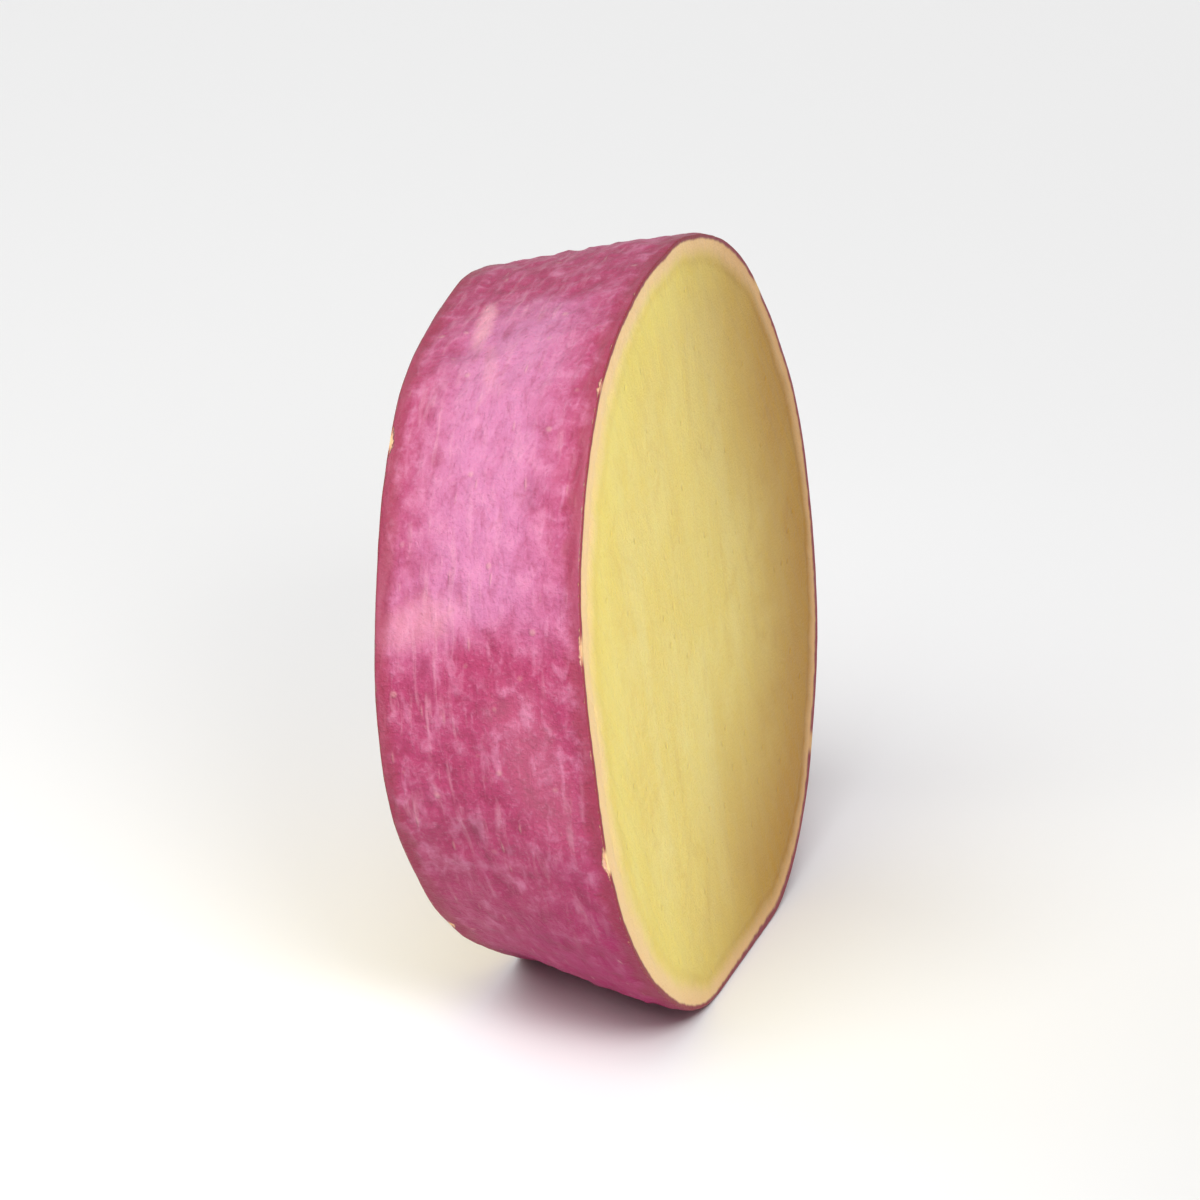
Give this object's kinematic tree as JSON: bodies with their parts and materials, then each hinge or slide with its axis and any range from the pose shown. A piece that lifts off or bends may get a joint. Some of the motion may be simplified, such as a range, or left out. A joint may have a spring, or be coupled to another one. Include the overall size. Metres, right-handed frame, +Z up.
{
  "type": "sliced sweet potato",
  "caption": "Thick slice of raw sweet potato with purple-red skin and pale yellow flesh, standing on its rim with both cut faces free.",
  "frame": {"origin": "middle of the bounding box's underside, on the surface that the slice stands on", "axes": "+Z up, +X across the slice, -Y the way the larger front cut faces, leaning 7 degrees back from upright"},
  "size_m": [0.0724, 0.028, 0.0685],
  "materials": {
    "sweet_potato": "moist raw yellow flesh on both cut faces, thin satin purple-red skin round the rim"
  },
  "bodies": {
    "root": {"sweet_potato_slice": "sweet_potato"}
  },
  "joints": []
}
